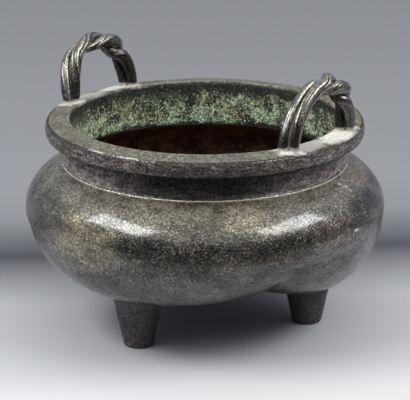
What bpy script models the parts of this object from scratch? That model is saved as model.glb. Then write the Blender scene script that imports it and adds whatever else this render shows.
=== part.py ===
"""Tripod incense burner: a bronze pot cast in one with its rim, three feet and two rope handles.

The pot stands on the ground plane with its axis on Z. One foot points to -Y, the handles stand at
+X and -X. Every size is in metres.
"""

from math import atan2, cos, pi, radians, sin, sqrt

import bpy
import bmesh
from mathutils import Vector

# Heights above the ground
RIM_HEIGHT = 0.139
NECK_FOOT_HEIGHT = 0.1101
BELLY_HEIGHT = 0.0806

# Rim: a flat flange with a tall, slightly swollen edge
RIM_RADIUS = 0.105
MOUTH_RADIUS = 0.0888
RIM_CREASE_RADIUS = 0.1024
RIM_EDGE_DEPTH = 0.0102
LIP_RISE = 0.0005

# Neck: a short hollow moulding with a thin raised line at its foot
NECK_RADIUS = 0.0921
NECK_LINE_RADIUS = 0.0940
NECK_INNER_DEPTH = 0.0317
NECK_INNER_RADIUS = 0.0915

# Belly: a squat round bowl that sinks into three pouches, the two at the back the deepest
BELLY_RADIUS = 0.1190
BELLY_DEPTH = 0.0453
WALL = 0.0035
SHOULDER_POWERS = (2.9, 2.1)
FRONT_POUCH = {"share": 1.008, "powers": (2.63, 2.24), "reach": 1.007, "circle": 0.0689}
BACK_POUCH = {"share": 1.227, "powers": (1.89, 1.88), "reach": 0.895, "circle": 0.0724}
POUCHES = (FRONT_POUCH, BACK_POUCH, BACK_POUCH)
REACH_POWER = 6
BOWL_SHARE = 0.60
BOWL_POWERS = (2.67, 2.75)
BLEND_POWER = 28
POUCH_TURN = radians(4.0)

# Feet: tapering round pegs
FOOT_CIRCLE = 0.0689
FOOT_SOLE_RADIUS = 0.0098
FOOT_TAPER = 0.21
FOOT_SOLE_ROUNDING = 0.0012
FOOT_TOP_HEIGHT = 0.044

# Handles: two rods twisted together, bent to an arch that stands across a chord of the rim. Powers
# are the fullness of the arch's two shoulders, and each turn is a share of its length and the
# degrees by which the rods have then turned about each other.
HANDLE_ROOT = 0.003
ROD_RADIUS = 0.0038
ROD_SPACING = 0.0066
LEFT_HANDLE = {
    "side": -1.0,
    "chord_distance": 0.0925,
    "half_span": 0.0291,
    "shift": 0.0011,
    "powers": (3.4, 1.85),
    "skew": 0.22,
    "height": 0.0338,
    "lean": 0.28,
    "turns": (
        (0.0, 0),
        (0.15, -47),
        (0.3, -93),
        (0.4, -113),
        (0.5, -192),
        (0.6, -250),
        (0.7, -305),
        (0.8, -438),
        (1.0, -480),
    ),
}
RIGHT_HANDLE = {
    "side": 1.0,
    "chord_distance": 0.0890,
    "half_span": 0.0302,
    "shift": 0.0023,
    "powers": (1.75, 2.5),
    "skew": 0.05,
    "height": 0.0357,
    "lean": 0.0,
    "turns": (
        (0.0, -45),
        (0.15, -79),
        (0.3, -88),
        (0.4, -94),
        (0.5, -112),
        (0.6, -222),
        (0.7, -281),
        (0.8, -404),
        (1.0, -495),
    ),
}

# The mould core stands this far above the rim, so that it opens the mouth cleanly
CORE_RISE = 0.010

# How finely the round shapes are divided, and how near points are welded
POT_STEPS = 60
CORE_STEPS = 48
FOOT_STEPS = 24
SHOULDER_RINGS = 6
BELLY_RINGS = 13
HANDLE_STATIONS = 44
HANDLE_MEASURES = 800
SECTION_POINTS = 16
WELD = 0.00001

BRONZE_COLOUR = (0.105, 0.095, 0.075, 1.0)


def clear_scene():
    for thing in list(bpy.data.objects):
        bpy.data.objects.remove(thing, do_unlink=True)


def new_collection(name):
    collection = bpy.data.collections.new(name)
    bpy.context.scene.collection.children.link(collection)
    return collection


def bronze():
    material = bpy.data.materials.new("bronze")
    material.use_nodes = True
    shader = material.node_tree.nodes["Principled BSDF"]
    shader.inputs["Base Color"].default_value = BRONZE_COLOUR
    shader.inputs["Metallic"].default_value = 0.8
    shader.inputs["Roughness"].default_value = 0.45
    material.diffuse_color = BRONZE_COLOUR
    return material


def turned(name, profile, steps, start=0.0):
    """A closed solid turned about Z from a profile of (radius, height) points, top to bottom.

    Start is the angle of the first of its steps.
    """
    mesh = bpy.data.meshes.new(name + "_profile")
    points = [(radius * cos(start), radius * sin(start), height) for radius, height in profile]
    edges = [(i, i + 1) for i in range(len(points) - 1)]
    mesh.from_pydata(points, edges, [])
    lathe = bpy.data.objects.new(name + "_profile", mesh)
    bpy.context.scene.collection.objects.link(lathe)
    screw = lathe.modifiers.new("turn", "SCREW")
    screw.steps = steps
    screw.render_steps = steps
    screw.use_merge_vertices = True
    screw.merge_threshold = WELD
    return as_mesh(lathe, name)


def as_mesh(source, name):
    """Replace an object by a mesh object of its evaluated shape, welded shut."""
    bpy.context.view_layer.update()
    shape = source.evaluated_get(bpy.context.evaluated_depsgraph_get())
    mesh = bpy.data.meshes.new_from_object(shape)
    mesh.name = name
    form = bmesh.new()
    form.from_mesh(mesh)
    bmesh.ops.remove_doubles(form, verts=form.verts, dist=WELD)
    form.to_mesh(mesh)
    form.free()
    solid = bpy.data.objects.new(name, mesh)
    solid.matrix_world = source.matrix_world
    bpy.data.objects.remove(source, do_unlink=True)
    return solid


def squared_arc(radius, powers):
    """Height of a squared quarter arc, from 1 at its middle to 0 at a radius of 1 and beyond."""
    flat, steep = powers
    return (1.0 - min(radius, 1.0) ** flat) ** (1.0 / steep)


def shoulder(top_radius, top_height, belly_radius, belly_height):
    """Points of the shoulder, from under the neck out to the widest ring of the belly."""
    start = top_radius / belly_radius
    rise = (top_height - belly_height) / squared_arc(start, SHOULDER_POWERS)
    first = atan2(sqrt(1.0 - start * start), start)
    points = []
    for ring in range(1, SHOULDER_RINGS + 1):
        share = cos(first * (1.0 - ring / SHOULDER_RINGS))
        height = belly_height + rise * squared_arc(share, SHOULDER_POWERS)
        points.append((belly_radius * share, height))
    return points


def plain_bowl(radius, height):
    """Points of the bowl below its widest ring, still without the pouches."""
    points = []
    for ring in range(1, BELLY_RINGS + 1):
        turn = 0.5 * pi * ring / BELLY_RINGS
        points.append((radius * cos(turn), height - BELLY_DEPTH * sin(turn)))
    points[-1] = (0.0, points[-1][1])
    return points


def pouch_depth(x, y):
    """Depth of the belly's underside, 0 at its edge to 1 at the front pouch, over a unit disc."""
    total = (BOWL_SHARE * squared_arc(sqrt(x * x + y * y), BOWL_POWERS)) ** BLEND_POWER
    for number, pouch in enumerate(POUCHES):
        centre = pouch["circle"] / BELLY_RADIUS
        angle = POUCH_TURN - 0.5 * pi + number * 2.0 * pi / 3.0
        from_centre = Vector((x - centre * cos(angle), y - centre * sin(angle)))
        distance = max(from_centre.length, WELD)
        along = centre * (from_centre.x * cos(angle) + from_centre.y * sin(angle)) / distance
        to_edge = -along + sqrt(max(along * along + 1.0 - centre * centre, 0.0))
        reach = (to_edge**-REACH_POWER + pouch["reach"] ** -REACH_POWER) ** (-1.0 / REACH_POWER)
        total += (pouch["share"] * squared_arc(distance / reach, pouch["powers"])) ** BLEND_POWER
    return total ** (1.0 / BLEND_POWER)


def press_pouches(solid, radius, height, depth):
    """Move the points of a turned bowl up or down into the three pouches."""
    for vertex in solid.data.vertices:
        if vertex.co.z < height - WELD:
            sunk = pouch_depth(vertex.co.x / radius, vertex.co.y / radius)
            vertex.co.z = height - depth * sunk


def pot_blank():
    """The outside of the pot as a full solid: rim, neck, shoulder and pouched belly."""
    top = RIM_HEIGHT
    under = top - RIM_EDGE_DEPTH
    line = NECK_FOOT_HEIGHT
    profile = [
        (0.0, top + LIP_RISE),
        (MOUTH_RADIUS, top + LIP_RISE),
        (RIM_CREASE_RADIUS, top - 0.0010),
        (RIM_RADIUS - 0.0007, top - 0.0025),
        (RIM_RADIUS, top - 0.0055),
        (RIM_RADIUS - 0.0007, under),
        (RIM_RADIUS - 0.0025, under - 0.0010),
        (NECK_RADIUS + 0.0035, under - 0.0020),
        (NECK_RADIUS + 0.0006, under - 0.0046),
        (NECK_RADIUS, under - 0.0090),
        (NECK_RADIUS + 0.0004, line + 0.0035),
        (NECK_LINE_RADIUS - 0.0008, line + 0.0012),
        (NECK_LINE_RADIUS, line + 0.0006),
        (NECK_LINE_RADIUS, line - 0.0004),
    ]
    profile += shoulder(NECK_LINE_RADIUS, line - 0.0004, BELLY_RADIUS, BELLY_HEIGHT)
    profile += plain_bowl(BELLY_RADIUS, BELLY_HEIGHT)
    blank = turned("censer", profile, POT_STEPS, POUCH_TURN)
    press_pouches(blank, BELLY_RADIUS, BELLY_HEIGHT, BELLY_DEPTH)
    return blank


def mould_core():
    """The hollow of the pot as a solid, from above the mouth down to the pouches."""
    top = RIM_HEIGHT
    throat = top - NECK_INNER_DEPTH
    radius = BELLY_RADIUS - WALL
    profile = [
        (0.0, top + CORE_RISE),
        (MOUTH_RADIUS, top + CORE_RISE),
        (MOUTH_RADIUS, top - 0.001),
        (NECK_INNER_RADIUS, throat),
    ]
    profile += shoulder(NECK_INNER_RADIUS, throat, radius, BELLY_HEIGHT)
    profile += plain_bowl(radius, BELLY_HEIGHT)
    core = turned("mould_core", profile, CORE_STEPS, POUCH_TURN)
    press_pouches(core, radius, BELLY_HEIGHT, BELLY_DEPTH - WALL)
    return core


def foot(number):
    """A round peg that tapers down to its sole, reaching up into the wall of its pouch."""
    angle = -0.5 * pi + number * 2.0 * pi / 3.0
    profile = [
        (0.0, FOOT_TOP_HEIGHT),
        (FOOT_SOLE_RADIUS + FOOT_TAPER * FOOT_TOP_HEIGHT, FOOT_TOP_HEIGHT),
        (FOOT_SOLE_RADIUS, FOOT_SOLE_ROUNDING),
        (FOOT_SOLE_RADIUS - FOOT_SOLE_ROUNDING, 0.0),
        (0.0, 0.0),
    ]
    peg = turned(f"foot_{number}", profile, FOOT_STEPS)
    for vertex in peg.data.vertices:
        vertex.co.x += FOOT_CIRCLE * cos(angle)
        vertex.co.y += FOOT_CIRCLE * sin(angle)
    return peg


def arch_point(angle, shape):
    """A point of a handle's middle line; the angle runs from 0 at the -Y leg to pi at the +Y leg."""
    near, far = shape["powers"]
    power = 2.0 / (near if angle < 0.5 * pi else far)
    rise = shape["height"] * max(sin(angle), 0.0) ** power
    across = shape["half_span"] * abs(cos(angle)) ** power
    y = (across if cos(angle) < 0.0 else -across) + shape["skew"] * rise + shape["shift"]
    x = shape["side"] * (shape["chord_distance"] + shape["lean"] * rise)
    return Vector((x, y, RIM_HEIGHT + rise))


def even_arch(shape):
    """A handle's middle line as points at even steps along it, rooted in the rim."""
    fine = [arch_point(pi * i / HANDLE_MEASURES, shape) for i in range(HANDLE_MEASURES + 1)]
    lengths = [0.0]
    for start, stop in zip(fine, fine[1:]):
        lengths.append(lengths[-1] + (stop - start).length)
    points = []
    index = 0
    for station in range(HANDLE_STATIONS + 1):
        target = lengths[-1] * station / HANDLE_STATIONS
        while index < HANDLE_MEASURES - 1 and lengths[index + 1] < target:
            index += 1
        step = lengths[index + 1] - lengths[index]
        points.append(fine[index].lerp(fine[index + 1], (target - lengths[index]) / step))
    points[0].z -= HANDLE_ROOT
    points[-1].z -= HANDLE_ROOT
    return points


def turn_at(share, turns):
    """How far the rods have turned at a share of the length, smooth between the given turns."""
    turns = [turns[0], *turns, turns[-1]]
    for before, start, stop, after in zip(turns, turns[1:], turns[2:], turns[3:]):
        if share <= stop[0]:
            break
    span = stop[0] - start[0]
    t = (share - start[0]) / span
    first_slope = (stop[1] - before[1]) / (stop[0] - before[0]) * span
    last_slope = (after[1] - start[1]) / (after[0] - start[0]) * span
    degrees = (2.0 * t**3 - 3.0 * t**2 + 1.0) * start[1] + (t**3 - 2.0 * t**2 + t) * first_slope
    degrees += (3.0 * t**2 - 2.0 * t**3) * stop[1] + (t**3 - t**2) * last_slope
    return radians(degrees)


def handle(name, shape):
    """An arch of two twisted rods on the rim, skinned as one closed solid."""
    offset = 0.5 * ROD_SPACING
    middle = even_arch(shape)
    front = Vector((1.0, 0.0, -shape["side"] * shape["lean"])).normalized()
    points = []
    for station, place in enumerate(middle):
        tangent = middle[min(station + 1, HANDLE_STATIONS)] - middle[max(station - 1, 0)]
        outward = front.cross(tangent).normalized()
        turn = turn_at(station / HANDLE_STATIONS, shape["turns"])
        for i in range(SECTION_POINTS):
            angle = 2.0 * pi * i / SECTION_POINTS
            reach = offset * abs(cos(angle)) + sqrt(ROD_RADIUS**2 - (offset * sin(angle)) ** 2)
            points.append(place + reach * (outward * cos(angle + turn) + front * sin(angle + turn)))
    faces = [list(range(SECTION_POINTS))]
    faces.append([HANDLE_STATIONS * SECTION_POINTS + i for i in range(SECTION_POINTS)])
    for station in range(HANDLE_STATIONS):
        for i in range(SECTION_POINTS):
            this = station * SECTION_POINTS + i
            beside = station * SECTION_POINTS + (i + 1) % SECTION_POINTS
            faces.append([this, beside, beside + SECTION_POINTS, this + SECTION_POINTS])
    mesh = bpy.data.meshes.new(name)
    mesh.from_pydata(points, [], faces)
    form = bmesh.new()
    form.from_mesh(mesh)
    bmesh.ops.recalc_face_normals(form, faces=form.faces)
    form.to_mesh(mesh)
    form.free()
    return bpy.data.objects.new(name, mesh)


def hide_tool(tool, tools):
    tools.objects.link(tool)
    tool.hide_render = True
    tool.display_type = "WIRE"


def combine(solid, tool, operation):
    step = solid.modifiers.new(f"{operation.lower()}_{tool.name}", "BOOLEAN")
    step.operation = operation
    step.solver = "EXACT"
    step.object = tool


def build():
    clear_scene()
    parts = new_collection("incense_burner")
    tools = new_collection("cutters")
    censer = pot_blank()
    parts.objects.link(censer)
    censer.data.materials.append(bronze())
    handles = [handle("handle_left", LEFT_HANDLE), handle("handle_right", RIGHT_HANDLE)]
    for peg in [foot(number) for number in range(3)]:
        hide_tool(peg, tools)
        combine(censer, peg, "UNION")
    core = mould_core()
    hide_tool(core, tools)
    combine(censer, core, "DIFFERENCE")
    for arch in handles:
        hide_tool(arch, tools)
        combine(censer, arch, "UNION")
    censer.data.shade_smooth()
    censer.data.set_sharp_from_angle(angle=radians(40.0))


build()
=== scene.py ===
from functools import reduce
from math import atan2, cos, exp, hypot, pi, radians, sin, sqrt

import bpy
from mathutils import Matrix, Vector


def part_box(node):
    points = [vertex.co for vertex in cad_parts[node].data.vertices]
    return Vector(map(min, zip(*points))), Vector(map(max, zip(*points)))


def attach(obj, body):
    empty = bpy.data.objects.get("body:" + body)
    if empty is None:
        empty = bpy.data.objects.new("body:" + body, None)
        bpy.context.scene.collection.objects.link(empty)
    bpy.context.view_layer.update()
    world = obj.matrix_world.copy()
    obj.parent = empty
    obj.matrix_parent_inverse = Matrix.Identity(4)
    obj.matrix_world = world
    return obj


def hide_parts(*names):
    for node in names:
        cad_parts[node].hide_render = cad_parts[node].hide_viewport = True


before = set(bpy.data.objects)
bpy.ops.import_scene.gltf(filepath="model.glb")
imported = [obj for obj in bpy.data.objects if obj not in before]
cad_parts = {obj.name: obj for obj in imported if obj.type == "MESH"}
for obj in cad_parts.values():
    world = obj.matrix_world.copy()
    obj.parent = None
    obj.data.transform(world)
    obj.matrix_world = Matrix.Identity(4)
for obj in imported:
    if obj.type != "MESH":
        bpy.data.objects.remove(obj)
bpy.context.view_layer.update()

# ==== The pot and its feet ===================================================================
# One casting of leaded bronze, poured round a clay core: a flat rim, a short hollow neck, a squat
# belly that sinks into three pouches, and a solid peg under each pouch. It was scraped smooth in
# turning, which left a thin line standing where the neck meets the belly.

around = 360
outside_rings = 56
inside_rings = 30
outside_shoulder_rings = 26
inside_shoulder_rings = 14
rim_height = 0.139
mouth_radius = 0.0888
rim_radius = 0.105
crease_radius = 0.1024
crease_height = rim_height - 0.0010
edge_foot = rim_height - 0.0102
neck_radius = 0.0921
throat_radius = 0.0915
throat_height = rim_height - 0.0317
lip_rise = 0.0005
line_radius = 0.0941
line_height = 0.1101
belly_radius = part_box("censer")[1].x
belly_height = 0.0806
belly_depth = 0.0453
wall = 0.0035
shoulder_powers = (2.9, 2.1)
bowl_share = 0.60
bowl_powers = (2.67, 2.75)
# Each pouch has its depth as a share, its two powers, its reach and its distance from the axis
front_pouch = (1.008, (2.63, 2.24), 1.007, 0.0689)
back_pouch = (1.227, (1.89, 1.88), 0.895, 0.0724)
pouch_turn = radians(4.0)
foot_circle = 0.0689
edge_power = 6
blend_power = 28
foot_turns = [number * 2.0 * pi / 3.0 - 0.5 * pi for number in range(3)]
weld = 0.00001
smooth_below = radians(35.0)


def smooth_run(points, steps):
    """The given points with smooth steps between each two of them."""
    points = [Vector(point) for point in points]
    ends = [2 * points[0] - points[1], *points, 2 * points[-1] - points[-2]]
    run = []
    for before, start, stop, after in zip(ends, ends[1:], ends[2:], ends[3:]):
        for step in range(steps):
            t = step / steps
            pull = (stop - before) * t + (2 * before - 5 * start + 4 * stop - after) * t**2
            pull += (3 * start - before - 3 * stop + after) * t**3
            run.append(start + 0.5 * pull)
    return [*run, points[-1]]


def squared_arc(share, powers):
    """Height, 0 to 1, of a squared quarter arc at a share of its radius."""
    flat, steep = powers
    return max(1.0 - min(share, 1.0) ** flat, 0.0) ** (1.0 / steep)


def shoulder_run(top_radius, top_height, widest, rings):
    """Points down the shoulder, from the foot of the neck to the widest ring of the belly."""
    start = top_radius / widest
    rise = (top_height - belly_height) / squared_arc(start, shoulder_powers)
    first = atan2(sqrt(1.0 - start * start), start)
    run = []
    for ring in range(rings + 1):
        share = cos(first * (1.0 - ring / rings))
        run.append(Vector((widest * share, belly_height + rise * squared_arc(share, shoulder_powers))))
    return run


def bowl_run(widest, rings):
    """Points from near the middle of the underside to near the widest ring of the belly.

    They lie level here. Their heights come from pouch_depth once the rings are made.
    """
    turns = [0.5 * pi * (1.0 - ring / rings) for ring in range(1, rings)]
    return [Vector((widest * cos(turn), belly_height - belly_depth)) for turn in turns]


def pouch_depth(x, y):
    """How deep the underside hangs, as a share of belly_depth, over a disc of radius 1."""
    radius = min(hypot(x, y), 1.0)
    depths = [bowl_share * squared_arc(radius, bowl_powers)]
    for foot_turn, pouch in zip(foot_turns, (front_pouch, back_pouch, back_pouch)):
        full_depth, powers, widest_reach, circle = pouch
        middle = circle / belly_radius
        angle = foot_turn + pouch_turn
        away = Vector((x - middle * cos(angle), y - middle * sin(angle)))
        distance = max(away.length, weld)
        along = middle * (away.x * cos(angle) + away.y * sin(angle)) / distance
        to_edge = sqrt(max(along * along + 1.0 - middle * middle, 0.0)) - along
        reach = (to_edge**-edge_power + widest_reach**-edge_power) ** (-1.0 / edge_power)
        depths.append(full_depth * squared_arc(distance / reach, powers))
    return sum(depth**blend_power for depth in depths) ** (1.0 / blend_power)


def extrude_rings(rings):
    """Extrude the selected ring through each (radius, height), as on a lathe."""
    radius, height = rings[0]
    for next_radius, next_height in rings[1:]:
        rise = (0.0, 0.0, next_height - height)
        bpy.ops.mesh.extrude_region_move(TRANSFORM_OT_translate={"value": rise})
        spread = next_radius / radius
        bpy.ops.transform.resize(value=(spread, spread, 1.0), center_override=(0.0, 0.0, 0.0))
        radius, height = next_radius, next_height


outside = bowl_run(belly_radius, outside_rings)
outside += reversed(
    shoulder_run(line_radius, line_height - 0.0004, belly_radius, outside_shoulder_rings)
)
outside += smooth_run(
    [
        (line_radius + 0.0001, line_height + 0.0001),
        (line_radius - 0.0002, line_height + 0.0006),
        (line_radius - 0.0010, line_height + 0.0010),
        (neck_radius + 0.0003, line_height + 0.0032),
        (neck_radius, edge_foot - 0.0080),
        (neck_radius + 0.0008, edge_foot - 0.0042),
        (neck_radius + 0.0038, edge_foot - 0.0018),
        (rim_radius - 0.0024, edge_foot - 0.0010),
        (rim_radius - 0.0008, edge_foot),
        (rim_radius - 0.0001, edge_foot + 0.0030),
        (rim_radius - 0.0004, edge_foot + 0.0062),
        (crease_radius + 0.0012, crease_height - 0.0006),
        (crease_radius, crease_height),
    ],
    4,
)
rim_top = smooth_run(
    [
        (crease_radius - 0.0008, crease_height),
        (mouth_radius + 0.0008, rim_height + lip_rise),
    ],
    12,
)
lip = smooth_run(
    [
        (mouth_radius + 0.0003, rim_height + lip_rise - 0.0001),
        (mouth_radius, rim_height - 0.0002),
        (mouth_radius, rim_height - 0.0010),
    ],
    2,
)
throat = smooth_run(
    [
        (mouth_radius + 0.0002, rim_height - 0.0030),
        (throat_radius, throat_height + 0.0010),
    ],
    14,
)
inner_wall = shoulder_run(
    throat_radius + 0.0006, throat_height - 0.0004, belly_radius - wall, inside_shoulder_rings
)
inner_wall += reversed(bowl_run(belly_radius - wall, inside_rings))
profile = [*outside, *rim_top, *lip, *throat, *inner_wall]
inner_ring = len(outside) + len(rim_top) + len(lip)

bpy.ops.object.select_all(action="DESELECT")
bpy.ops.mesh.primitive_circle_add(
    vertices=around, radius=profile[0].x, fill_type="TRIFAN", location=(0.0, 0.0, profile[0].y)
)
pot = bpy.context.object
pot.name = "pot"
bpy.ops.object.transform_apply(location=True, rotation=False, scale=False)
bpy.ops.object.mode_set(mode="EDIT")
bpy.ops.mesh.select_all(action="DESELECT")
bpy.ops.mesh.select_mode(type="EDGE")
bpy.ops.mesh.select_non_manifold()
extrude_rings([tuple(point) for point in profile])
bpy.ops.mesh.edge_face_add()
bpy.ops.mesh.poke()
bpy.ops.mesh.select_all(action="SELECT")
bpy.ops.mesh.normals_make_consistent(inside=False)
bpy.ops.object.mode_set(mode="OBJECT")

# The vertices are numbered ring by ring, up the outside and down the inside
inside = pot.data.attributes.new("inside", "FLOAT", "POINT")
for number, vertex in enumerate(pot.data.vertices):
    is_inside = (number - 1) // around >= inner_ring
    skin = wall if is_inside else 0.0
    if vertex.co.z < belly_height - weld:
        spread = belly_radius - skin
        sunk = pouch_depth(vertex.co.x / spread, vertex.co.y / spread)
        vertex.co.z = belly_height - (belly_depth - skin) * sunk
    inside.data[number].value = 1.0 if is_inside else 0.0

# The feet are round pegs that taper to flat soles, each from a hole cut in the mould below a
# pouch. The metal flares where a peg runs into its pouch.
sole_radius = 0.0098
sole_rounding = 0.0012
foot_taper = 0.21
flare = 0.0012
flare_height = 0.0020
foot_root = 0.0020
foot_around = 80
foot_rings = 30
foot_height = belly_height - belly_depth

bpy.ops.object.select_all(action="DESELECT")
bpy.ops.mesh.primitive_circle_add(
    vertices=foot_around, radius=sole_radius - sole_rounding, fill_type="TRIFAN"
)
first_foot = bpy.context.object
bpy.ops.object.mode_set(mode="EDIT")
bpy.ops.mesh.select_all(action="DESELECT")
bpy.ops.mesh.select_non_manifold()
corner = [
    (sole_radius - sole_rounding * (1.0 - sin(turn)), sole_rounding * (1.0 - cos(turn)))
    for turn in [0.5 * pi * step / 5 for step in range(6)]
]
shaft = [
    (sole_radius + foot_taper * height, height)
    for height in [
        sole_rounding + (foot_height - sole_rounding) * step / foot_rings
        for step in range(1, foot_rings + 1)
    ]
]
extrude_rings([*corner, *shaft])
bpy.ops.mesh.edge_face_add()
bpy.ops.mesh.poke()
bpy.ops.mesh.select_all(action="SELECT")
bpy.ops.mesh.normals_make_consistent(inside=False)
bpy.ops.object.mode_set(mode="OBJECT")
feet = [first_foot]
while len(feet) < len(foot_turns):
    bpy.ops.object.select_all(action="DESELECT")
    first_foot.select_set(True)
    bpy.context.view_layer.objects.active = first_foot
    bpy.ops.object.duplicate()
    feet.append(bpy.context.object)

for foot_turn, foot in zip(foot_turns, feet):
    stand = Vector((foot_circle * cos(foot_turn), foot_circle * sin(foot_turn)))
    for vertex in foot.data.vertices:
        place = vertex.co
        share = pouch_depth((place.x + stand.x) / belly_radius, (place.y + stand.y) / belly_radius)
        pouch_height = belly_height - belly_depth * share
        if place.z > sole_rounding:
            stretch = (pouch_height + foot_root - sole_rounding) / (foot_height - sole_rounding)
            straight = sole_radius + foot_taper * place.z
            place.z = sole_rounding + (place.z - sole_rounding) * stretch
            place.xy *= (sole_radius + foot_taper * place.z) / straight
        radius = max(hypot(place.x, place.y), weld)
        swell = 1.0 + flare * exp(min(place.z - pouch_height, 0.0) / flare_height) / radius
        place.xy = place.xy * swell + stand

bpy.ops.object.select_all(action="DESELECT")
bpy.context.view_layer.objects.active = pot
for foot in feet:
    joint = pot.modifiers.new("cast_together", "BOOLEAN")
    joint.operation = "UNION"
    joint.solver = "EXACT"
    joint.object = foot
    bpy.ops.object.modifier_apply(modifier=joint.name)
    bpy.data.objects.remove(foot)
bpy.ops.object.select_all(action="DESELECT")
pot.select_set(True)
bpy.ops.object.shade_smooth_by_angle(angle=smooth_below)

# The casting is slightly uneven everywhere but on the soles
dent_depth = 0.00035
dent_width = 0.022
uneven = pot.vertex_groups.new(name="uneven")
walls = [vertex.index for vertex in pot.data.vertices if vertex.co.z >= 2.0 * sole_rounding]
uneven.add(walls, 1.0, "REPLACE")
dents = bpy.data.textures.new("dents", "CLOUDS")
dents.noise_scale = dent_width
dents.noise_depth = 2
press = pot.modifiers.new("uneven_casting", "DISPLACE")
press.texture = dents
press.texture_coords = "LOCAL"
press.vertex_group = "uneven"
press.strength = dent_depth
press.mid_level = 1.0
bpy.ops.object.modifier_apply(modifier=press.name)

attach(pot, "root")
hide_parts("censer")


class Wire:
    """One output of a node. Arithmetic on it adds Math nodes, and node() adds any other kind."""

    def __init__(self, socket):
        self.socket = socket

    def node(self, kind, settings, sources, output=0):
        """Add a node: its settings first, then a value or a wire for each of its inputs."""
        tree = self.socket.id_data
        node = tree.nodes.new(kind)
        for name, setting in settings.items():
            if name == "stops":
                ramp = node.color_ramp.elements
                for number, (position, colour) in enumerate(setting):
                    stop = ramp[number] if number < 2 else ramp.new(position)
                    stop.position = position
                    stop.color = (*colour, 1.0)
            else:
                setattr(node, name, setting)
        for key, source in sources.items():
            if isinstance(source, Wire):
                tree.links.new(source.socket, node.inputs[key])
            else:
                node.inputs[key].default_value = source
        return Wire(node.outputs[output])

    def math(self, operation, *terms):
        return self.node("ShaderNodeMath", {"operation": operation}, dict(enumerate(terms)))

    def __add__(self, other):
        return self.math("ADD", self, other)

    def __sub__(self, other):
        return self.math("SUBTRACT", self, other)

    def __mul__(self, other):
        return self.math("MULTIPLY", self, other)

    def __radd__(self, other):
        return self.math("ADD", other, self)

    def __rsub__(self, other):
        return self.math("SUBTRACT", other, self)

    def __rmul__(self, other):
        return self.math("MULTIPLY", other, self)

    def __pow__(self, other):
        return self.math("POWER", self, other)

    def __abs__(self):
        return self.math("ABSOLUTE", self)


def larger(first, second):
    """The larger of two values."""
    return first.math("MAXIMUM", first, second)


def smooth_step(wire, low, high):
    """0 below low, 1 above high, and smooth between. Low may be the larger of the two."""
    ends = {"Value": wire, "From Min": low, "From Max": high}
    return wire.node("ShaderNodeMapRange", {"interpolation_type": "SMOOTHSTEP"}, ends)


def close_to(wire, middle, reach, core):
    """1 within the core distance of a middle value, and 0 beyond its reach."""
    return smooth_step(abs(wire - middle), reach, core)


def vector_math(wire, operation, other, output=0):
    """A vector with another vector added to it, taken from it, multiplied by it and so on."""
    return wire.node("ShaderNodeVectorMath", {"operation": operation}, {0: wire, 1: other}, output)


def flattened(place, times):
    """The place with its height counted so many times over, so that clouds read there lie level."""
    return vector_math(place, "MULTIPLY", (1.0, 1.0, times))


def grain(place, scale, detail, rough, shift=(0.0, 0.0, 0.0)):
    """Fractal noise, about 0.5, with features of 1 / scale metres."""
    where = vector_math(place, "ADD", shift)
    sources = {"Vector": where, "Scale": scale, "Detail": detail, "Roughness": rough}
    return place.node("ShaderNodeTexNoise", {}, sources)


def mix(factor, under, over):
    """The colour under, with the colour over laid on it by factor."""
    if isinstance(over, tuple):
        over = (*over, 1.0)
    if isinstance(under, tuple):
        under = (*under, 1.0)
    return factor.node("ShaderNodeMix", {"data_type": "RGBA"}, {0: factor, 6: under, 7: over}, 2)


def scaled(colour, factor):
    """A colour made darker or lighter all over."""
    return colour.node("ShaderNodeVectorMath", {"operation": "SCALE"}, {0: colour, "Scale": factor})


def blot(place, centre, reach, flatten=(1.0, 1.0, 1.0), ragged=0.0):
    """1 at the heart of a patch round a point, fading to 0 at its reach. Flatten weighs the axes."""
    away = vector_math(vector_math(place, "SUBTRACT", centre), "MULTIPLY", flatten)
    return smooth_step(vector_math(away, "LENGTH", (0.0, 0.0, 0.0), 1) + ragged, reach, 0.35 * reach)


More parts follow.
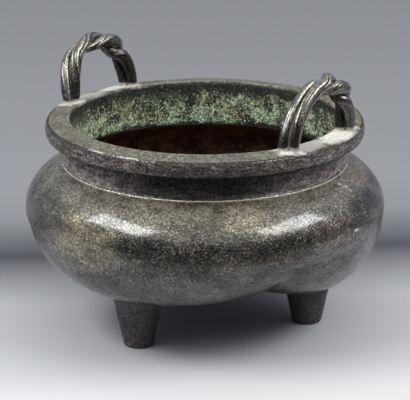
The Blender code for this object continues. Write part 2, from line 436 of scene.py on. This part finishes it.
def cast_bronze(material):
    """The patina all over: brown-black bronze with olive and umber clouds, soot and crazing.

    Gives the place and colour, where there are rubs and pits for a piece to lay in its own
    colours, and then the roughness, metal share and relief.
    """
    brown_black = (0.006, 0.005, 0.0045)
    dull_brown = (0.150, 0.137, 0.118)
    olive_green = (0.150, 0.140, 0.080)
    umber_red = (0.105, 0.070, 0.062)
    soot_black = (0.030, 0.028, 0.026)
    crack_black = (0.010, 0.009, 0.008)
    place = Wire(material.node_tree.nodes.new("ShaderNodeTexCoord").outputs["Object"])
    level = flattened(place, 2.2)
    clouds = grain(level, scale=24.0, detail=5.0, rough=0.6)
    granules = grain(place, scale=820.0, detail=2.5, rough=0.75, shift=(0.3, 0.8, 0.1))
    tone = 0.35 * smooth_step(clouds, 0.38, 0.62) + 0.65 * smooth_step(granules, 0.39, 0.61)
    colour = mix(tone, brown_black, dull_brown)
    olive = smooth_step(grain(level, scale=31.0, detail=5.0, rough=0.62, shift=(1.3, 0.2, 0.7)), 0.53, 0.66)
    colour = mix(olive * 0.35, colour, olive_green)
    umber = smooth_step(grain(level, scale=44.0, detail=5.0, rough=0.65, shift=(2.7, 1.1, 0.4)), 0.55, 0.68)
    colour = mix(umber * 0.40, colour, umber_red)
    soot = smooth_step(grain(level, scale=36.0, detail=6.0, rough=0.68, shift=(0.4, 3.2, 1.9)), 0.56, 0.66)
    colour = mix(soot * 0.28, colour, soot_black)
    rubs = smooth_step(grain(place, scale=800.0, detail=2.0, rough=0.6, shift=(0.1, 0.9, 0.4)), 0.57, 0.70)
    pits = smooth_step(grain(place, scale=620.0, detail=3.0, rough=0.6, shift=(5.1, 0.7, 3.3)), 0.42, 0.30)
    wobbled = vector_math(place, "ADD", grain(place, scale=300.0, detail=2.0, rough=0.5) * 0.0016)
    cells = {"Vector": wobbled, "Scale": 430.0}
    crack_distance = place.node("ShaderNodeTexVoronoi", {"feature": "DISTANCE_TO_EDGE"}, cells)
    crazing = smooth_step(crack_distance, 0.14, 0.02)
    colour = mix(crazing * 0.4, colour, crack_black)
    matt = 0.30 + 0.10 * smooth_step(granules, 0.56, 0.40) + 0.05 * soot + 0.2 * pits + 0.12 * crazing
    metal = 0.84 - 0.25 * soot - 0.3 * pits
    relief = granules - 0.3 * pits - 0.5 * crazing
    return place, colour, rubs, pits, matt, metal, relief


def speckled(place, colour):
    """A colour darkened and lightened by fine grit."""
    grit = smooth_step(grain(place, scale=600.0, detail=2.0, rough=0.85, shift=(4.0, 0.6, 2.9)), 0.40, 0.60)
    return scaled(colour, 0.45 + 1.05 * grit)


def finish(material, colour, matt, metal, relief, depth):
    """Wire the finished values to the shader of a material, under a thin shine of handling and wax."""
    bump = relief.node("ShaderNodeBump", {}, {"Strength": 1.0, "Distance": depth, "Height": relief})
    wax = smooth_step(matt, 0.60, 0.38)
    shader = material.node_tree.nodes["Principled BSDF"]
    shader.inputs["Coat IOR"].default_value = 1.6
    shader.inputs["Coat Roughness"].default_value = 0.15
    wires = {"Base Color": colour, "Roughness": matt, "Metallic": metal, "Coat Weight": wax, "Normal": bump}
    for name, wire in wires.items():
        material.node_tree.links.new(wire.socket, shader.inputs[name])


pot_bronze = bpy.data.materials.new("pot_bronze")
pot_bronze.use_nodes = True
place, colour, rubs, pits, matt, metal, relief = cast_bronze(pot_bronze)
split = place.node("ShaderNodeSeparateXYZ", {}, {0: place})
x, y, z = [Wire(output) for output in split.socket.node.outputs]
radius = (x * x + y * y) ** 0.5
inner = smooth_step(place.node("ShaderNodeAttribute", {"attribute_name": "inside"}, {}, 2), 0.2, 0.8)
outer = 1.0 - inner
ragged = (grain(place, scale=130.0, detail=5.0, rough=0.65, shift=(0.9, 4.4, 2.0)) - 0.5) * 0.05
fine = grain(place, scale=600.0, detail=3.0, rough=0.7, shift=(2.2, 2.2, 0.2))

# The belly: olive on the shoulder and at the front left, mauve-grey below and at the back right, darker
# below as painted shade, and with fewer rubs and pits below. Across runs from the front left to the back
# right.
sage_green = (0.132, 0.130, 0.074)
underside_shade_brown = (0.030, 0.024, 0.030)
mauve_grey = (0.130, 0.102, 0.122)
rubbed_brass = (0.50, 0.45, 0.35)
pit_black = (0.014, 0.012, 0.010)
across = x * 0.78 + y * 0.63 + 0.3 * ragged
wavy_height = z + 0.4 * ragged
wide_clouds = grain(flattened(place, 1.8), scale=27.0, detail=4.0, rough=0.6, shift=(7.0, 3.1, 2.2))
wide_clouds = smooth_step(wide_clouds, 0.40, 0.60)
sage = smooth_step(wavy_height, 0.086, 0.103) * 0.8
sage = larger(sage, smooth_step(across, -0.035, -0.090) * smooth_step(wavy_height, 0.058, 0.072))
sage = sage * smooth_step(z, 0.1115, 0.1095)
colour = mix(sage * (0.15 + 0.50 * wide_clouds), colour, sage_green)
# Darker towards the bottom, as painted shade where the belly turns under
low_belly = smooth_step(z, 0.078, 0.060)
colour = mix(low_belly * 0.52, colour, underside_shade_brown)
mauve = larger(smooth_step(across, 0.050, 0.095), low_belly * 0.8)
colour = mix(mauve * (0.50 - 0.35 * wide_clouds), colour, mauve_grey)

# Single patches on the belly, each with its centre, reach, strength and colour
patches = (
    ((-0.0585, -0.0912, 0.1010), 0.030, 0.12, (0.028, 0.027, 0.025)),
    ((-0.0458, -0.1093, 0.0778), 0.026, 0.50, (0.050, 0.038, 0.030)),
    ((-0.0104, -0.1179, 0.0820), 0.040, 0.62, (0.270, 0.232, 0.150)),
    ((0.0855, -0.0571, 0.1049), 0.026, 0.50, (0.220, 0.190, 0.110)),
    ((0.0958, -0.0327, 0.1060), 0.022, 0.80, (0.050, 0.049, 0.046)),
    ((0.1076, 0.0133, 0.1008), 0.040, 0.65, (0.052, 0.045, 0.040)),
    ((0.1170, -0.0120, 0.0855), 0.022, 0.45, (0.120, 0.076, 0.060)),
    ((0.0960, 0.0560, 0.0980), 0.022, 0.55, (0.160, 0.105, 0.098)),
    ((0.1150, 0.0320, 0.0791), 0.020, 0.45, (0.115, 0.070, 0.055)),
)
for centre, reach, share, tint in patches:
    colour = mix(blot(place, centre, reach, (1.0, 1.0, 1.6), ragged) * share, colour, tint)
mottle = grain(flattened(place, 1.6), scale=62.0, detail=6.0, rough=0.72, shift=(9.1, 2.7, 6.3))
mottle = smooth_step(mottle, 0.40, 0.60)
colour = scaled(colour, 0.60 + 0.86 * mottle)
matt = matt + 0.05 * (1.0 - mottle) - 0.03
colour = mix(rubs * (0.25 + 0.30 * mottle - 0.2 * low_belly), colour, rubbed_brass)
colour = mix(pits * (0.80 - 0.3 * low_belly), colour, pit_black)

# Pale nicks on the right of the belly, each with its centre, reach and flattening
fresh_metal = (0.74, 0.71, 0.64)
nicks = (
    ((0.1185, 0.0061, 0.0835), 0.0022, (0.3, 0.6, 1.6)),
    ((0.1002, 0.0182, 0.1055), 0.0024, (1.0, 0.5, 1.6)),
    ((0.0972, 0.0168, 0.1072), 0.0018, (1.0, 0.5, 1.6)),
    ((0.1029, 0.0200, 0.1035), 0.0016, (0.6, 1.4, 1.0)),
)
for centre, reach, flatten in nicks:
    colour = mix(blot(place, centre, reach, flatten, ragged * 0.05) * 0.9, colour, fresh_metal)

# Dust lies in level streaks on the top of the shoulder
shoulder_dust = (0.21, 0.188, 0.145)
dusty = smooth_step(z + ragged * 0.3, 0.0985, 0.1045) * smooth_step(z, 0.1105, 0.1095) * outer
streaks = grain(flattened(place, 3.5), scale=70.0, detail=5.0, rough=0.65, shift=(5.0, 5.0, 0.5))
dusty = dusty * (0.35 + 0.65 * smooth_step(streaks, 0.40, 0.60))
colour = mix(dusty * 0.70, colour, shoulder_dust)
metal = metal - 0.60 * dusty
matt = matt + 0.15 * dusty

# The neck and rim underside carry painted shade, and low on either side a paler painted reflection
neck_shade_dark = (0.042, 0.036, 0.037)
neck_lit_brown = (0.130, 0.112, 0.101)
side_reflection_dark = (0.130, 0.108, 0.098)
side_reflection_light = (0.430, 0.375, 0.348)
recess = smooth_step(z, line_height + 0.0004, line_height + 0.0014)
recess = recess * smooth_step(z, edge_foot + 0.0010, edge_foot - 0.0010) * outer
sides = smooth_step(across, -0.030, -0.066) + smooth_step(across, 0.020, 0.058)
side_reflection = sides * smooth_step(y - x, 0.080, 0.050) * smooth_step(z + 0.3 * ragged, 0.1250, 0.1195)
drawn_round = flattened(place, 4.0)
neck_streaks = grain(drawn_round, scale=90.0, detail=5.0, rough=0.7, shift=(3.0, 1.5, 0.5))
neck_streaks = smooth_step(neck_streaks, 0.38, 0.62)
neck_tone = mix(smooth_step(z, 0.1240, 0.1150) * neck_streaks, neck_shade_dark, neck_lit_brown)
side_reflection_tone = mix(neck_streaks, side_reflection_dark, side_reflection_light)
colour = mix(recess * 0.95, colour, mix(side_reflection * 0.9, neck_tone, side_reflection_tone))
matt = matt + (0.30 - 0.10 * side_reflection) * recess
metal = metal - 0.40 * recess

# The feet were never smoothed, and stand in dirt
foot_dark = (0.050, 0.042, 0.046)
foot_light = (0.094, 0.080, 0.087)
foot_dirt = (0.36, 0.34, 0.29)
foot = smooth_step(z, 0.0375, 0.0345) * outer
colour = mix(foot * 0.75, colour, mix(smooth_step(fine, 0.40, 0.62), foot_dark, foot_light))
flecks = foot * smooth_step(z, 0.020, 0.004) * smooth_step(fine, 0.56, 0.66)
colour = mix(flecks * 0.35, colour, foot_dirt)
matt = matt + 0.16 * foot
metal = metal - 0.25 * foot

# The edge of the rim is brown, with dust caught on it below its top corner
edge_brown = (0.043, 0.034, 0.032)
edge_dust = (0.320, 0.276, 0.238)
edge_band = smooth_step(z, edge_foot - 0.0004, edge_foot + 0.0004) * outer
dusted = grain(drawn_round, scale=150.0, detail=5.0, rough=0.8, shift=(6.0, 2.5, 1.5))
dusted = smooth_step(dusted, 0.46, 0.62) * smooth_step(z, 0.1372, 0.1350)
edge_tone = mix(dusted * (0.60 + 0.55 * sides), edge_brown, edge_dust)
colour = mix(edge_band * 0.75, colour, edge_tone)
metal = metal - 0.35 * edge_band
matt = matt + 0.12 * edge_band

# The flat of the rim is dusty
rim_dark = (0.082, 0.078, 0.055)
rim_light = (0.180, 0.170, 0.127)
rim_dull = (0.073, 0.068, 0.055)
rim = smooth_step(z, crease_height - 0.0008, crease_height - 0.0002) * outer
rim = rim * smooth_step(radius, 0.1042, 0.1026)
rim_grain = grain(place, scale=330.0, detail=4.0, rough=0.75, shift=(0.2, 7.2, 2.2))
rim_clouds = grain(place, scale=60.0, detail=5.0, rough=0.65, shift=(6.0, 0.1, 0.2))
dust = mix(smooth_step(rim_grain, 0.38, 0.62), rim_dark, rim_light)
dust = mix(smooth_step(rim_clouds, 0.50, 0.64) * 0.5, dust, rim_dull)
colour = mix(rim * 0.85, colour, dust)
matt = matt + 0.12 * rim
metal = metal - 0.35 * rim
colour = mix(foot * 0.7, speckled(place, colour), colour)

# Fine lines: a painted dark reflection in the crease of the rim with a painted highlight on one stretch of
# it, a worn inner lip, and the raised line at the foot of the neck, worn to ivory
dark_reflection_black = (0.010, 0.009, 0.008)
crease_highlight_ivory = (0.80, 0.76, 0.66)
lip_bright = (0.50, 0.48, 0.41)
line_ivory = (0.80, 0.75, 0.60)
worn_in_places = grain(place, scale=120.0, detail=4.0, rough=0.7, shift=(3.3, 1.0, 5.0))
worn_in_places = smooth_step(worn_in_places, 0.44, 0.56)
crease_band = close_to(radius, crease_radius + 0.0004, 0.0008, 0.0003)
crease_highlight_stretch = smooth_step(across, -0.078, -0.069) * smooth_step(across, -0.028, -0.044)
crease_dark_reflection = crease_band * (1.0 - crease_highlight_stretch) * smooth_step(y - x, 0.10, 0.06)
crease_dark_reflection = crease_dark_reflection * smooth_step(z, crease_height - 0.0030, crease_height - 0.0010)
colour = mix(crease_dark_reflection * 0.85, colour, dark_reflection_black)
matt = matt + (0.80 - matt) * crease_dark_reflection
crease = crease_band * smooth_step(z, crease_height - 0.0012, crease_height - 0.0006)
crease = crease * worn_in_places * crease_highlight_stretch * 0.6
colour = mix(crease, colour, crease_highlight_ivory)
lip_band = close_to(radius, mouth_radius + 0.0003, 0.0007, 0.0003)
lip_line = lip_band * smooth_step(z, rim_height - 0.0012, rim_height - 0.0004) * worn_in_places
colour = mix(lip_line * 0.45, colour, lip_bright)
line_band = close_to(z, line_height + 0.0001, 0.0007, 0.0004)
line = line_band * smooth_step(radius, line_radius - 0.0008, line_radius - 0.0003) * outer
colour = mix(line * (0.80 + 0.15 * worn_in_places), colour, line_ivory)
matt = matt - 0.08 * larger(crease + lip_line, line)

# Pale crust lies on the rim at the feet of the handles, thickest between them. Each patch has
# its centre, reach, flattening and strength.
crust_dark = (0.58, 0.56, 0.49)
crust_light = (0.76, 0.75, 0.69)
crusts = (
    ((0.0945, 0.0170, 0.1385), 0.0280, (2.3, 1.0, 1.0), 1.0),
    ((0.0935, -0.0120, 0.1385), 0.0240, (2.2, 1.0, 1.0), 0.55),
    ((0.0890, -0.0279, 0.1390), 0.0130, (1.0, 1.0, 1.0), 0.85),
    ((0.0890, 0.0325, 0.1390), 0.0130, (1.0, 1.0, 1.0), 0.9),
    ((-0.0950, 0.0190, 0.1385), 0.0220, (2.3, 1.0, 1.0), 1.0),
    ((-0.0940, -0.0080, 0.1385), 0.0240, (2.3, 1.0, 1.0), 0.6),
    ((-0.0925, -0.0280, 0.1390), 0.0130, (1.0, 1.0, 1.0), 0.8),
    ((-0.0925, 0.0302, 0.1390), 0.0130, (1.0, 1.0, 1.0), 0.9),
)
crust_patches = []
for centre, reach, flatten, share in crusts:
    crust_patches.append(blot(place, centre, reach, flatten, ragged * 0.5) * share)
crust = reduce(larger, crust_patches)
crust = crust * smooth_step(z, 0.1366, 0.1376) * (0.80 + 0.20 * smooth_step(fine, 0.34, 0.50))
colour = mix(crust, colour, mix(smooth_step(fine, 0.35, 0.6), crust_dark, crust_light))
matt = matt + (0.85 - matt) * crust
metal = metal * (1.0 - crust)

# Inside, the neck is crusted green, dark under the lip, and the bowl below is rust-brown
green_dark = (0.040, 0.045, 0.024)
green_light = (0.50, 0.61, 0.36)
ochre = (0.31, 0.30, 0.11)
mint_green = (0.40, 0.60, 0.42)
stain_black = (0.026, 0.030, 0.028)
pale_fleck = (0.80, 0.84, 0.68)
dark_fleck = (0.012, 0.018, 0.012)
lip_shadow = (0.018, 0.022, 0.017)
tide_black = (0.010, 0.009, 0.007)
rust_dark = (0.034, 0.018, 0.012)
rust_light = (0.170, 0.086, 0.050)
speckle = grain(place, scale=640.0, detail=3.0, rough=0.75, shift=(1.1, 6.0, 4.0))
patchy = grain(place, scale=80.0, detail=6.0, rough=0.75, shift=(4.0, 2.0, 6.0))
green = mix(smooth_step(patchy, 0.42, 0.59), green_dark, green_light)
yellowed = grain(place, scale=48.0, detail=4.0, rough=0.6, shift=(8.0, 5.0, 1.0))
green = mix(smooth_step(yellowed, 0.50, 0.62) * 0.7, green, ochre)
mint = smooth_step(z + ragged * 0.25, 0.124, 0.110) * smooth_step(patchy, 0.42, 0.54)
green = mix(mint * 0.6, green, mint_green)
stain = grain(place, scale=66.0, detail=5.0, rough=0.7, shift=(2.0, 9.0, 5.0))
stain = smooth_step(stain + (z - 0.120) * 12.0, 0.54, 0.66)
green = mix(stain * 0.75, green, stain_black)
green = mix(smooth_step(speckle, 0.55, 0.62) * (0.9 - 0.5 * stain), green, pale_fleck)
green = mix(smooth_step(speckle, 0.46, 0.40) * 0.95, green, dark_fleck)
under_lip = smooth_step(z + ragged * 0.30, 0.1290, 0.1325) * (1.0 - 0.6 * smooth_step(speckle, 0.62, 0.68))
green = mix(under_lip * 0.92, green, lip_shadow)
above_tide = z + ragged * 0.22 - 0.1078
green = mix(smooth_step(above_tide, 0.0022, 0.0008) * 0.9, green, tide_black)
rust = mix(smooth_step(patchy, 0.40, 0.60), rust_dark, rust_light)
green = mix(smooth_step(above_tide, 0.0002, -0.0012), green, rust)
colour = mix(inner, colour, speckled(place, green))
matt = matt + (0.80 - matt) * inner
metal = metal * (1.0 - 0.9 * inner)

relief = relief + 1.4 * inner * speckle + 1.2 * crust * fine + 0.8 * foot * fine
pot_relief_depth = 0.00040
finish(pot_bronze, colour, matt, metal, relief, pot_relief_depth)
pot.data.materials.clear()
pot.data.materials.append(pot_bronze)

# ==== The handles ============================================================================
# Each is an upright bronze loop of two ribbed bundles, which stand side by side up one leg and
# then wind round each other. They were modelled in wax and cast in one with the rim, and their
# ribs have been rubbed bright.

handle_root = 0.0025
arch_steps = 2000
stations = 260
around_bundle = 84
grooves = (0.0, 84.0, 150.0, 214.0, 290.0, 360.0)
groove_depth = 0.17
millimetre = 0.001
handle_relief_depth = 0.00012
rib_smooth_below = radians(50.0)


def arch_point(angle, side, chord, half, shift, powers, skew, height, lean):
    """A point of a loop's middle line; the angle runs from 0 at the -Y leg to pi at the +Y leg."""
    power = 2.0 / powers[0 if angle < 0.5 * pi else 1]
    rise = height * max(sin(angle), 0.0) ** power
    away = half * abs(cos(angle)) ** power
    along = (away if cos(angle) < 0.0 else -away) + skew * rise + shift
    return Vector((side * (chord + lean * rise), along, rim_height + rise))


def even_arch(shape):
    """The middle line as points at even steps along it, rooted in the rim at both ends."""
    fine_line = [arch_point(pi * step / arch_steps, *shape) for step in range(arch_steps + 1)]
    lengths = [0.0]
    for start, stop in zip(fine_line, fine_line[1:]):
        lengths.append(lengths[-1] + (stop - start).length)
    points, index = [], 0
    for station in range(stations + 1):
        target = lengths[-1] * station / stations
        while index < arch_steps - 1 and lengths[index + 1] < target:
            index += 1
        part = (target - lengths[index]) / (lengths[index + 1] - lengths[index])
        points.append(fine_line[index].lerp(fine_line[index + 1], part))
    for number in (0, -1):
        points[number].z -= handle_root
    return points


def along_keys(share, keys, column):
    """A column of the keys at a share of the length, smooth between them."""
    keys = [keys[0], *keys, keys[-1]]
    for before, start, stop, after in zip(keys, keys[1:], keys[2:], keys[3:]):
        if share <= stop[0]:
            break
    span = stop[0] - start[0]
    t = (share - start[0]) / span
    slope_in = (stop[column] - before[column]) / (stop[0] - before[0]) * span
    slope_out = (after[column] - start[column]) / (after[0] - start[0]) * span
    value = (2 * t**3 - 3 * t**2 + 1) * start[column] + (t**3 - 2 * t**2 + t) * slope_in
    return value + (3 * t**2 - 2 * t**3) * stop[column] + (t**3 - t**2) * slope_out


def rib_height(angle):
    """0 in a groove between two ribs and 1 on a rib's crest, at an angle round the bundle."""
    degrees_round = (angle * 180.0 / pi) % 360.0
    for start, stop in zip(grooves, grooves[1:]):
        if degrees_round <= stop:
            return max(sin(pi * (degrees_round - start) / (stop - start)), 0.0) ** 0.8
    return 0.0


bpy.ops.object.select_all(action="DESELECT")
bpy.ops.mesh.primitive_circle_add(vertices=around_bundle, radius=1.0, fill_type="TRIFAN")
straight_bundle = bpy.context.object
bpy.ops.object.mode_set(mode="EDIT")
bpy.ops.mesh.select_all(action="DESELECT")
bpy.ops.mesh.select_non_manifold()
extrude_rings([(1.0, station / stations) for station in range(stations + 1)])
bpy.ops.mesh.edge_face_add()
bpy.ops.mesh.poke()
bpy.ops.mesh.select_all(action="SELECT")
bpy.ops.mesh.normals_make_consistent(inside=False)
bpy.ops.object.mode_set(mode="OBJECT")


def wind_bundle(shape, keys, half):
    """Bend a copy of the straight bundle into one of the two bundles of a loop.

    Each key is a share of the length, the turn in degrees, and in millimetres how far the bundle
    stands off the middle line, its width and its thickness. The ribs run out at both ends, and
    are shallower on the far half. Half is 1 for one bundle and -1 for the other.
    """
    bundle = straight_bundle.copy()
    bundle.data = straight_bundle.data.copy()
    bpy.context.collection.objects.link(bundle)
    middle = even_arch(shape)
    front = Vector((1.0, 0.0, -shape[0] * shape[-1])).normalized()
    crest = bundle.data.attributes.new("crest", "FLOAT", "POINT")
    gap = bundle.data.attributes.new("gap", "FLOAT", "POINT")
    for number, vertex in enumerate(bundle.data.vertices):
        share = min(max(vertex.co.z, 0.0), 1.0)
        station = round(share * stations)
        tangent = middle[min(station + 1, stations)] - middle[max(station - 1, 0)]
        outward = front.cross(tangent).normalized()
        turn = radians(along_keys(share, keys, 1))
        apart = outward * cos(turn) + front * sin(turn)
        beside = front * cos(turn) - outward * sin(turn)
        offset, wide, thick = [millimetre * along_keys(share, keys, column) for column in (2, 3, 4)]
        angle = atan2(vertex.co.y, vertex.co.x)
        size = min(hypot(vertex.co.x, vertex.co.y), 1.0)
        from_ends = min(9.0 * share - 0.5, 14.0 * (1.0 - share) - 0.6)
        ribbed = min(max(from_ends, 0.0), 1.0) * (1.0 - 0.65 * min(max(8.0 * share - 4.0, 0.0), 1.0))
        rib = rib_height(angle)
        reach = size / hypot(cos(angle) / thick, sin(angle) / wide)
        reach *= 1.06 - groove_depth * (1.0 - rib) * (0.15 + 0.85 * ribbed)
        around_it = apart * cos(angle) + beside * sin(angle)
        vertex.co = middle[station] + (apart * offset + around_it * reach) * half
        crest.data[number].value = 0.55 + (rib - 0.55) * (0.25 + 0.75 * ribbed)
        gap.data[number].value = max(-cos(angle), 0.0)
    return bundle


handle_bronze = bpy.data.materials.new("handle_bronze")
handle_bronze.use_nodes = True
groove_shade_black = (0.016, 0.014, 0.012)
rib_brass = (0.37, 0.34, 0.26)
rub_brass = (0.55, 0.51, 0.42)
pit_grey = (0.034, 0.029, 0.026)
rust_red = (0.170, 0.095, 0.070)
verdigris_green = (0.20, 0.25, 0.17)
leg_dark = (0.020, 0.018, 0.016)
shade_dark = (0.022, 0.020, 0.019)
dirt_pale = (0.60, 0.57, 0.47)
place, colour, rubs, pits, matt, metal, relief = cast_bronze(handle_bronze)
crest_mask = place.node("ShaderNodeAttribute", {"attribute_name": "crest"}, {}, 2)
gap_mask = place.node("ShaderNodeAttribute", {"attribute_name": "gap"}, {}, 2)
height = place.node("ShaderNodeSeparateXYZ", {}, {0: place}, 2)
fine = grain(place, scale=420.0, detail=4.0, rough=0.7, shift=(2.2, 2.2, 0.2))
upper = smooth_step(height, 0.144, 0.164)
# Painted shade darkens the grooves between the ribs
colour = mix(smooth_step(crest_mask, 0.55, 0.10) * 0.85, colour, groove_shade_black)
colour = mix(smooth_step(crest_mask, 0.66, 0.97) * (0.14 + 0.50 * upper), colour, rib_brass)
colour = mix(rubs * (0.20 + 0.20 * upper), colour, rub_brass)
colour = mix(pits * 0.6, colour, pit_grey)
rusty = smooth_step(grain(place, scale=75.0, detail=4.0, rough=0.6, shift=(9.0, 1.0, 2.0)), 0.52, 0.64)
colour = mix(rusty * upper * 0.55, colour, rust_red)
verdigris = smooth_step(grain(place, scale=90.0, detail=4.0, rough=0.6, shift=(1.0, 9.0, 2.0)), 0.54, 0.66)
colour = mix(verdigris * upper * 0.45, colour, verdigris_green)
colour = mix(smooth_step(height, 0.160, 0.144) * 0.45, colour, leg_dark)

# The legs behind carry painted shade, darker than those in front
shaded = blot(place, (-0.0950, 0.0300, 0.1480), 0.022, (1.0, 1.0, 0.8))
shaded = shaded + 0.4 * blot(place, (0.0890, 0.0310, 0.1500), 0.018)
colour = mix(shaded * 0.75, colour, shade_dark)
matt = matt + 0.2 * shaded - 0.04
colour = speckled(place, colour)

# Pale dirt fills the gap between the bundles, and lies round the roots
dirt = smooth_step(gap_mask, 0.80, 0.97) * smooth_step(height, 0.172, 0.150)
dirt = (dirt + smooth_step(height, 0.1415, 0.1392)) * (0.6 + 0.6 * fine)
dirt = dirt.math("MINIMUM", dirt, 1.0)
colour = mix(dirt, colour, dirt_pale)
matt = matt - 0.04 * crest_mask + 0.35 * dirt
metal = metal - 0.7 * dirt
finish(handle_bronze, colour, matt, metal, relief, handle_relief_depth)

# Each shape is a loop's side, distance from the axis, half span, shift along the chord, fullness
# of its two shoulders, skew, height and lean outwards
left_shape = (-1.0, 0.0925, 0.0291, 0.0011, (3.4, 1.85), 0.22, 0.0338, 0.28)
left_keys = (
    (0.00, 0, 3.00, 3.2, 3.2),
    (0.15, -47, 3.30, 4.0, 3.4),
    (0.30, -93, 3.40, 4.25, 3.4),
    (0.40, -113, 3.20, 3.8, 3.3),
    (0.50, -192, 3.10, 3.3, 3.2),
    (0.60, -250, 3.30, 4.2, 3.8),
    (0.70, -318, 3.30, 4.7, 4.3),
    (0.80, -430, 3.30, 4.7, 4.0),
    (1.00, -480, 3.15, 3.8, 3.0),
)
right_shape = (1.0, 0.0890, 0.0302, 0.0023, (1.75, 2.5), 0.05, 0.0343, 0.0)
right_keys = (
    (0.00, -45, 3.55, 3.1, 3.1),
    (0.15, -79, 3.40, 3.8, 3.1),
    (0.30, -88, 3.15, 4.2, 3.1),
    (0.40, -94, 3.25, 4.25, 3.2),
    (0.50, -112, 3.40, 4.25, 3.4),
    (0.60, -222, 3.30, 4.5, 3.7),
    (0.70, -290, 3.20, 4.8, 4.2),
    (0.80, -400, 3.20, 4.7, 3.9),
    (1.00, -495, 3.05, 3.4, 2.9),
)
for name, shape, keys in (("handle_left", left_shape, left_keys), ("handle_right", right_shape, right_keys)):
    handle = wind_bundle(shape, keys, 1.0)
    other = wind_bundle(shape, keys, -1.0)
    bpy.ops.object.select_all(action="DESELECT")
    bpy.context.view_layer.objects.active = handle
    joint = handle.modifiers.new("cast_together", "BOOLEAN")
    joint.operation = "UNION"
    joint.solver = "EXACT"
    joint.object = other
    bpy.ops.object.modifier_apply(modifier=joint.name)
    bpy.data.objects.remove(other)
    handle.name = name
    handle.select_set(True)
    bpy.ops.object.shade_smooth_by_angle(angle=rib_smooth_below)
    handle.data.materials.clear()
    handle.data.materials.append(handle_bronze)
    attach(handle, "root")
    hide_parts("censer")
bpy.data.objects.remove(straight_bundle)

# ==== The floor ==============================================================================
# A sheet of grey card, palest near the burner, lying flat and far wider than the view. A soft painted shadow
# band crosses it close behind the burner, and painted shade darkens it well in front.

floor_size = 8.0
floor_slant = 0.1
camera_turn = radians(38.8)
bpy.ops.object.select_all(action="DESELECT")
bpy.ops.mesh.primitive_plane_add(size=floor_size)
floor = bpy.context.object
floor.name = "floor"
card = bpy.data.materials.new("card")
card.use_nodes = True
card_shader = card.node_tree.nodes["Principled BSDF"]
card_shader.inputs["Roughness"].default_value = 0.9
card_shader.inputs["Specular IOR Level"].default_value = 0.2
spot = Wire(card.node_tree.nodes.new("ShaderNodeTexCoord").outputs["Object"])
backward = vector_math(spot, "DOT_PRODUCT", (-sin(camera_turn), cos(camera_turn), 0.0), 1)
sideways = vector_math(spot, "DOT_PRODUCT", (cos(camera_turn), sin(camera_turn), 0.0), 1)
# The ramp paints the shadow band behind the burner and the shade well in front
shade = backward.node(
    "ShaderNodeValToRGB",
    {
        "stops": [
            (0.0, (0.037, 0.037, 0.037)),
            (1.0, (0.213, 0.219, 0.232)),
            (0.28, (0.062, 0.062, 0.062)),
            (0.38, (0.286, 0.286, 0.286)),
            (0.43, (0.523, 0.523, 0.523)),
            (0.46, (0.514, 0.514, 0.521)),
            (0.5125, (0.452, 0.461, 0.476)),
            (0.6625, (0.422, 0.430, 0.447)),
            (0.7875, (0.065, 0.069, 0.078)),
            (0.90, (0.189, 0.195, 0.207)),
        ]
    },
    {0: (backward - floor_slant * sideways + 0.50) * 1.25},
)
card.node_tree.links.new(shade.socket, card_shader.inputs["Base Color"])
floor.data.materials.append(card)

# ==== The light and the camera ===============================================================
# A dim studio under a bright ceiling, with a soft box half way up on either side. The camera
# stands off to the right of the front foot, and looks a little down.

sky = bpy.data.worlds.new("studio")
bpy.context.scene.world = sky
sky.use_nodes = True
background = sky.node_tree.nodes["Background"]
direction = Wire(sky.node_tree.nodes.new("ShaderNodeTexCoord").outputs["Generated"])
away = vector_math(direction, "DOT_PRODUCT", (-sin(camera_turn), cos(camera_turn), 0.0), 1)
up = direction.node("ShaderNodeSeparateXYZ", {}, {0: direction}, 2)
leftward = vector_math(direction, "DOT_PRODUCT", (-cos(camera_turn), -sin(camera_turn), 0.0), 1)
level = 0.03 + 0.18 * smooth_step(away, -0.4, 0.5) + 0.12 * smooth_step(leftward, 0.3, 0.9)
ceiling = smooth_step(up, 0.40, 0.68)
level = level + (1.15 - level) * ceiling
cool = 1.0 - ceiling
redness = level * (1.0 - 0.10 * cool)
blueness = level * (1.02 + 0.20 * cool)
tint = level.node("ShaderNodeCombineXYZ", {}, {0: redness, 1: level, 2: blueness})
sky.node_tree.links.new(tint.socket, background.inputs["Color"])

# Each soft box has its name, its azimuth from the camera, its elevation and its power
box_width = 0.9
box_height = 0.42
box_distance = 1.3
target = Vector((0.0, 0.0, 0.10))
soft_boxes = (
    ("softbox_left", -67.0, 46.0, 12.4),
    ("softbox_right", 72.0, 46.0, 10.8),
)
for name, azimuth, elevation, power in soft_boxes:
    lamp = bpy.data.lights.new(name, "AREA")
    lamp.shape = "RECTANGLE"
    lamp.size = box_width
    lamp.size_y = box_height
    lamp.energy = power
    light = bpy.data.objects.new(name, lamp)
    bpy.context.collection.objects.link(light)
    turn = camera_turn + radians(azimuth)
    rise = radians(elevation)
    toward = Vector((sin(turn) * cos(rise), -cos(turn) * cos(rise), sin(rise)))
    light.location = target + toward * box_distance
    light.rotation_euler = toward.to_track_quat("Z", "Y").to_euler()
    light.visible_camera = False

camera_distance = 1.365
camera_height = 0.5206
camera_tilt = radians(17.848)
camera_data = bpy.data.cameras.new("camera")
camera_data.lens = 189.64
camera_data.sensor_width = 36.0
camera = bpy.data.objects.new("camera", camera_data)
bpy.context.collection.objects.link(camera)
camera.location = (camera_distance * sin(camera_turn), -camera_distance * cos(camera_turn), camera_height)
camera.rotation_euler = (0.5 * pi - camera_tilt, 0.0, camera_turn)
bpy.context.scene.camera = camera
bpy.context.scene.view_settings.view_transform = "Standard"
